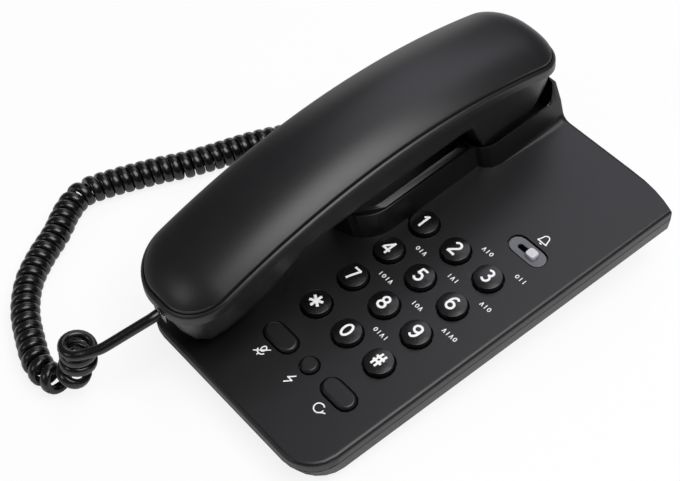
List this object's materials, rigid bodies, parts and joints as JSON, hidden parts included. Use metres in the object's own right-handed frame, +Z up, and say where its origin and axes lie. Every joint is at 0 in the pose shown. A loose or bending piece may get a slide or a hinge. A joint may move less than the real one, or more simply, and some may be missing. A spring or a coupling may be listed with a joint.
{
  "type": "corded desk telephone",
  "caption": "Low black desk telephone: a push-button base with a cradle at its left, an arched handset lying in it and a curly cord between the two.",
  "frame": {"origin": "middle of the telephone's footprint on the table, cord left out", "axes": "+X to the user's right, +Y away from the user, +Z up"},
  "size_m": [0.1924, 0.2467, 0.0826],
  "materials": {
    "black_abs": "fine satin texture",
    "key_black": "semi-gloss, moulded",
    "switch_grey": "satin grey",
    "rubber_dark": "matte",
    "rubber_grey": "matte",
    "board_green": "coated laminate",
    "steel": "zinc plated",
    "capsule_metal": "satin",
    "clear_plastic": "clear, polished",
    "cord_pvc": "glossy soft vinyl"
  },
  "bodies": {
    "base": {"upper_housing": "black_abs", "lower_housing": "black_abs", "cradle_insert": "black_abs", "foot_front_left": "rubber_dark", "foot_front_right": "rubber_dark", "foot_rear_left": "rubber_dark", "foot_rear_right": "rubber_dark", "base_screw_front_left": "steel", "base_screw_front_right": "steel", "base_screw_rear_left": "steel", "base_screw_rear_right": "steel", "keypad_mat": "rubber_grey", "circuit_board": "board_green", "ringer_bezel": "switch_grey", "hook_switch": "switch_grey", "ringer_sounder": "capsule_metal", "cord_jack": "black_abs", "line_jack": "black_abs", "base_plug": "clear_plastic", "cord_coil": "cord_pvc", "cord_handset_lead": "cord_pvc", "cord_base_lead": "cord_pvc"},
    "handset": {"handset_top_cover": "black_abs", "handset_bottom_cover": "black_abs", "handset_jack": "black_abs", "handset_plug": "clear_plastic", "receiver_capsule": "capsule_metal", "microphone_capsule": "capsule_metal", "microphone_boot": "rubber_dark", "handset_weight": "steel", "handset_screw_left": "steel", "handset_screw_right": "steel"},
    "hook": {"hook_plunger": "key_black"},
    "key_1": {"key_1": "key_black"},
    "key_2": {"key_2": "key_black"},
    "key_3": {"key_3": "key_black"},
    "key_4": {"key_4": "key_black"},
    "key_5": {"key_5": "key_black"},
    "key_6": {"key_6": "key_black"},
    "key_7": {"key_7": "key_black"},
    "key_8": {"key_8": "key_black"},
    "key_9": {"key_9": "key_black"},
    "key_star": {"key_star": "key_black"},
    "key_0": {"key_0": "key_black"},
    "key_hash": {"key_hash": "key_black"},
    "mute_button": {"mute_button": "key_black"},
    "flash_button": {"flash_button": "key_black"},
    "redial_button": {"redial_button": "key_black"},
    "ringer_slider": {"ringer_slider": "switch_grey"}
  },
  "joints": [
    {"name": "handset_lift", "type": "slide", "parent": "base", "child": "handset", "axis": [0, -0.0872, 0.9962], "range_m": [0, 0.12]},
    {"name": "hook_rise", "type": "slide", "parent": "base", "child": "hook", "axis": [0, -0.0872, 0.9962], "range_m": [0, 0.004]},
    {"name": "press_1", "type": "slide", "parent": "base", "child": "key_1", "axis": [0, 0.0872, -0.9962], "range_m": [0, 0.0012], "stiffness_N_per_m": 300},
    {"name": "press_2", "type": "slide", "parent": "base", "child": "key_2", "axis": [0, 0.0872, -0.9962], "range_m": [0, 0.0012], "stiffness_N_per_m": 300},
    {"name": "press_3", "type": "slide", "parent": "base", "child": "key_3", "axis": [0, 0.0872, -0.9962], "range_m": [0, 0.0012], "stiffness_N_per_m": 300},
    {"name": "press_4", "type": "slide", "parent": "base", "child": "key_4", "axis": [0, 0.0872, -0.9962], "range_m": [0, 0.0012], "stiffness_N_per_m": 300},
    {"name": "press_5", "type": "slide", "parent": "base", "child": "key_5", "axis": [0, 0.0872, -0.9962], "range_m": [0, 0.0012], "stiffness_N_per_m": 300},
    {"name": "press_6", "type": "slide", "parent": "base", "child": "key_6", "axis": [0, 0.0872, -0.9962], "range_m": [0, 0.0012], "stiffness_N_per_m": 300},
    {"name": "press_7", "type": "slide", "parent": "base", "child": "key_7", "axis": [0, 0.0872, -0.9962], "range_m": [0, 0.0012], "stiffness_N_per_m": 300},
    {"name": "press_8", "type": "slide", "parent": "base", "child": "key_8", "axis": [0, 0.0872, -0.9962], "range_m": [0, 0.0012], "stiffness_N_per_m": 300},
    {"name": "press_9", "type": "slide", "parent": "base", "child": "key_9", "axis": [0, 0.0872, -0.9962], "range_m": [0, 0.0012], "stiffness_N_per_m": 300},
    {"name": "press_star", "type": "slide", "parent": "base", "child": "key_star", "axis": [0, 0.0872, -0.9962], "range_m": [0, 0.0012], "stiffness_N_per_m": 300},
    {"name": "press_0", "type": "slide", "parent": "base", "child": "key_0", "axis": [0, 0.0872, -0.9962], "range_m": [0, 0.0012], "stiffness_N_per_m": 300},
    {"name": "press_hash", "type": "slide", "parent": "base", "child": "key_hash", "axis": [0, 0.0872, -0.9962], "range_m": [0, 0.0012], "stiffness_N_per_m": 300},
    {"name": "press_mute", "type": "slide", "parent": "base", "child": "mute_button", "axis": [0, 0.0872, -0.9962], "range_m": [0, 0.0012], "stiffness_N_per_m": 300},
    {"name": "press_flash", "type": "slide", "parent": "base", "child": "flash_button", "axis": [0, 0.0872, -0.9962], "range_m": [0, 0.0012], "stiffness_N_per_m": 300},
    {"name": "press_redial", "type": "slide", "parent": "base", "child": "redial_button", "axis": [0, 0.0872, -0.9962], "range_m": [0, 0.0012], "stiffness_N_per_m": 300},
    {"name": "ringer_slide", "type": "slide", "parent": "base", "child": "ringer_slider", "axis": [-1, 0, 0], "range_m": [0, 0.005]}
  ],
  "couplings": [
    {"joint": "hook_rise", "follows": "handset_lift", "ratio": 0.033333}
  ]
}
